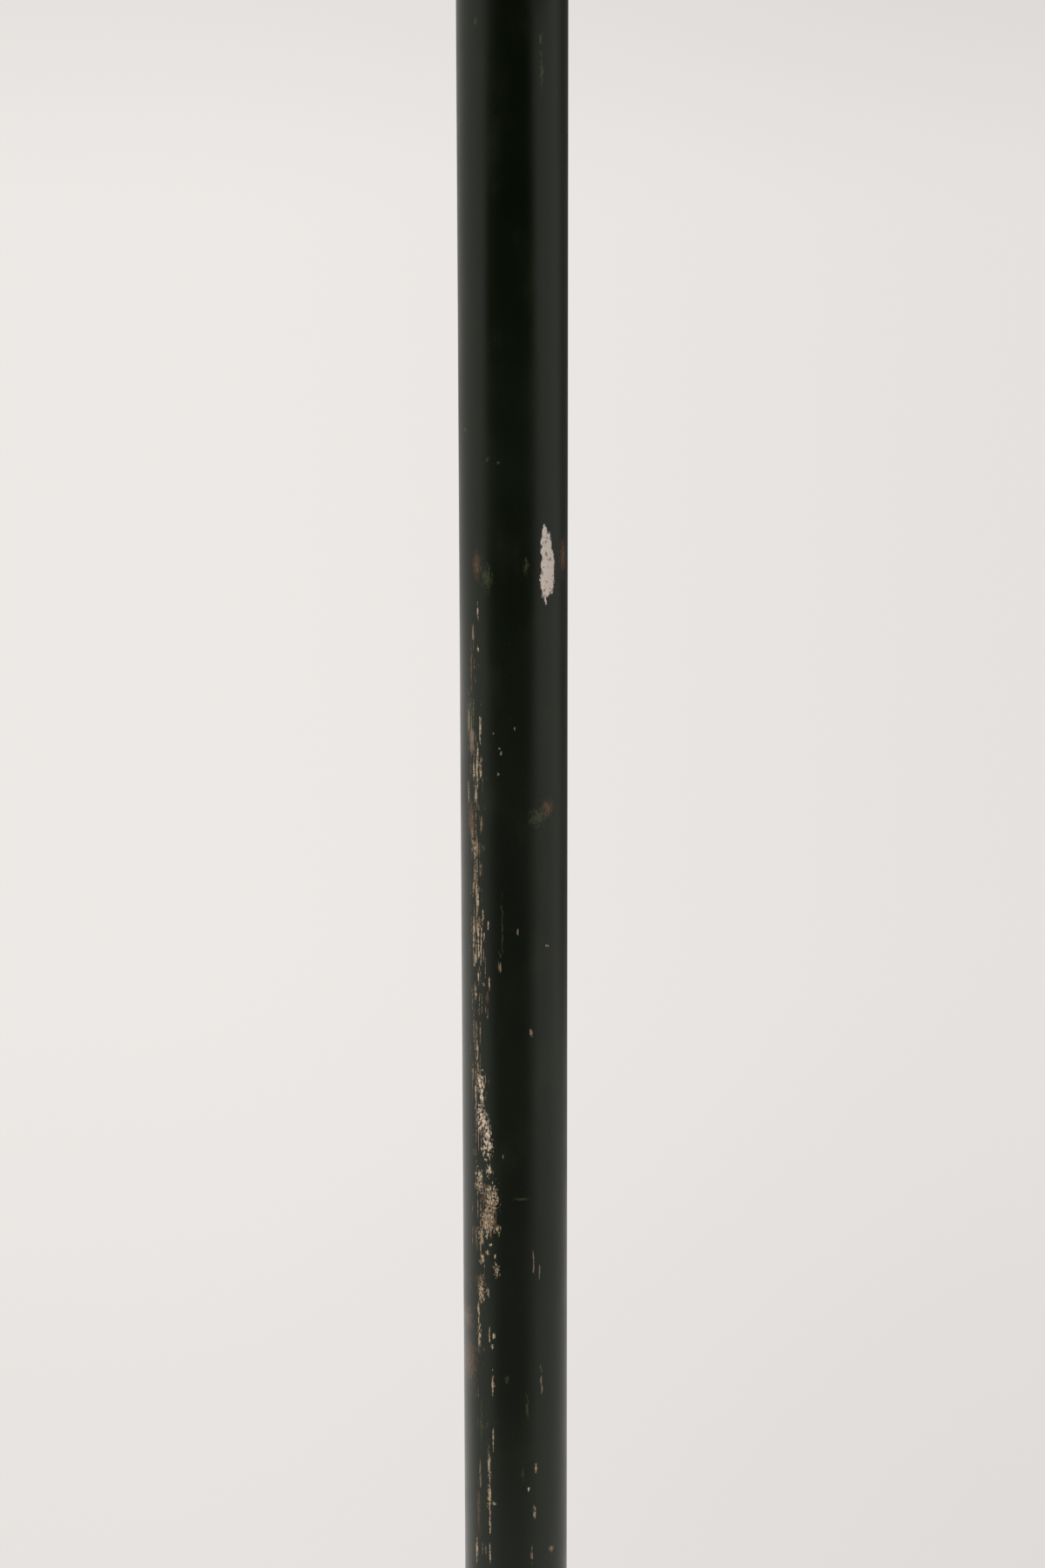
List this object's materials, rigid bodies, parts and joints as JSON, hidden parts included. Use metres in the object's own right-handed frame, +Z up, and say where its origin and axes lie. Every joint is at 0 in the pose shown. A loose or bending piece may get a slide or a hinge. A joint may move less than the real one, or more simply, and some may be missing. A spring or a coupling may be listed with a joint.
{
  "type": "tension pole lamp",
  "caption": "Sprung floor-to-ceiling lamp pole with a telescoping tube and cone-shaded heads on swivelling arms.",
  "frame": {"origin": "centre of the rubber floor pad's flat face, on the pole's axis, at floor level", "axes": "+Z up along the pole, from floor to ceiling; -Y towards the viewer; the cord inlet faces +Y"},
  "size_m": [0.6255, 0.3454, 2.417],
  "materials": {
    "enamel": "gloss",
    "rubber": "matt",
    "brass": "aged satin",
    "steel": "zinc plated",
    "chrome": "polished",
    "phenolic": "satin",
    "cap_metal": "satin",
    "bulb_glass": "pearl"
  },
  "bodies": {
    "lower": {"floor_pad": "rubber", "floor_foot": "enamel", "lower_tube": "enamel", "cord_grommet": "rubber", "lock_collar": "brass"},
    "clamp": {"lock_screw": "brass"},
    "upper": {"middle_tube": "enamel", "joint_nipple": "steel", "joint_ring": "brass", "top_tube": "enamel", "arm_saddles": "brass", "arm_locknuts": "steel", "spring_seat": "steel", "spring_seat_pin": "steel", "tension_spring": "steel", "guide_bush": "brass"},
    "plunger": {"plunger_piston": "steel", "plunger_tube": "chrome", "ceiling_cup": "enamel", "ceiling_pad": "rubber"},
    "low_arm": {"low_arm": "brass", "low_knuckle_fork": "brass", "low_pivot_screw": "brass", "low_pivot_nut": "brass"},
    "low_head": {"low_knuckle_tongue": "brass", "low_socket_cup": "enamel", "low_socket": "phenolic", "low_socket_contacts": "brass", "low_bulb_cap": "cap_metal", "low_bulb_glass": "bulb_glass", "low_shade": "enamel", "low_shade_ring": "phenolic"},
    "low_switch": {"low_switch_knob": "phenolic"},
    "mid_arm": {"mid_arm": "brass", "mid_knuckle_fork": "brass", "mid_pivot_screw": "brass", "mid_pivot_nut": "brass"},
    "mid_head": {"mid_knuckle_tongue": "brass", "mid_socket_cup": "enamel", "mid_socket": "phenolic", "mid_socket_contacts": "brass", "mid_bulb_cap": "cap_metal", "mid_bulb_glass": "bulb_glass", "mid_shade": "enamel", "mid_shade_ring": "phenolic"},
    "mid_switch": {"mid_switch_knob": "phenolic"},
    "top_arm": {"top_arm": "brass", "top_knuckle_fork": "brass", "top_pivot_screw": "brass", "top_pivot_nut": "brass"},
    "top_head": {"top_knuckle_tongue": "brass", "top_socket_cup": "enamel", "top_socket": "phenolic", "top_socket_contacts": "brass", "top_bulb_cap": "cap_metal", "top_bulb_glass": "bulb_glass", "top_shade": "enamel", "top_shade_ring": "phenolic"},
    "top_switch": {"top_switch_knob": "phenolic"}
  },
  "joints": [
    {"name": "clamp_screw_turn", "type": "hinge", "parent": "lower", "child": "clamp", "pos_m": [-0.01968, -0.02264, 0.773], "axis": [-0.6561, -0.7547, 0], "range_deg": [-180, 180]},
    {"name": "pole_telescope", "type": "slide", "parent": "lower", "child": "upper", "axis": [0, 0, 1], "range_m": [-0.45, 0.1]},
    {"name": "plunger_slide", "type": "slide", "parent": "upper", "child": "plunger", "axis": [0, 0, 1], "range_m": [-0.065, 0], "stiffness_N_per_m": 2600, "springref_m": 0.012, "deforming": ["tension_spring"]},
    {"name": "low_arm_roll", "type": "hinge", "parent": "upper", "child": "low_arm", "pos_m": [0.01813, -0.00845, 1.56], "axis": [0.9063, -0.4226, 0], "range_deg": [-165, 165]},
    {"name": "low_head_tilt", "type": "hinge", "parent": "low_arm", "child": "low_head", "pos_m": [0.09707, -0.04526, 1.56], "axis": [0.4226, 0.9063, 0], "range_deg": [-108, 42]},
    {"name": "low_switch_turn", "type": "hinge", "parent": "low_head", "child": "low_switch", "pos_m": [0.14759, -0.06882, 1.54292], "axis": [0.6735, -0.3141, 0.6691], "range_deg": [0, 90]},
    {"name": "mid_arm_roll", "type": "hinge", "parent": "upper", "child": "mid_arm", "pos_m": [-0.01813, -0.00845, 1.805], "axis": [-0.9063, -0.4226, 0], "range_deg": [-165, 165]},
    {"name": "mid_head_tilt", "type": "hinge", "parent": "mid_arm", "child": "mid_head", "pos_m": [-0.09707, -0.04526, 1.805], "axis": [0.4226, -0.9063, 0], "range_deg": [-98, 52]},
    {"name": "mid_switch_turn", "type": "hinge", "parent": "mid_head", "child": "mid_switch", "pos_m": [-0.14951, -0.06972, 1.79786], "axis": [-0.558, -0.2602, 0.788], "range_deg": [0, 90]},
    {"name": "top_arm_roll", "type": "hinge", "parent": "upper", "child": "top_arm", "pos_m": [0.00845, -0.01813, 2.05], "axis": [0.4226, -0.9063, 0], "range_deg": [-165, 165]},
    {"name": "top_head_tilt", "type": "hinge", "parent": "top_arm", "child": "top_head", "pos_m": [0.04526, -0.09707, 2.05], "axis": [0.9063, 0.4226, 0], "range_deg": [-104, 46]},
    {"name": "top_switch_turn", "type": "hinge", "parent": "top_head", "child": "top_switch", "pos_m": [0.06927, -0.14855, 2.03685], "axis": [0.2936, -0.6296, 0.7193], "range_deg": [0, 90]}
  ]
}
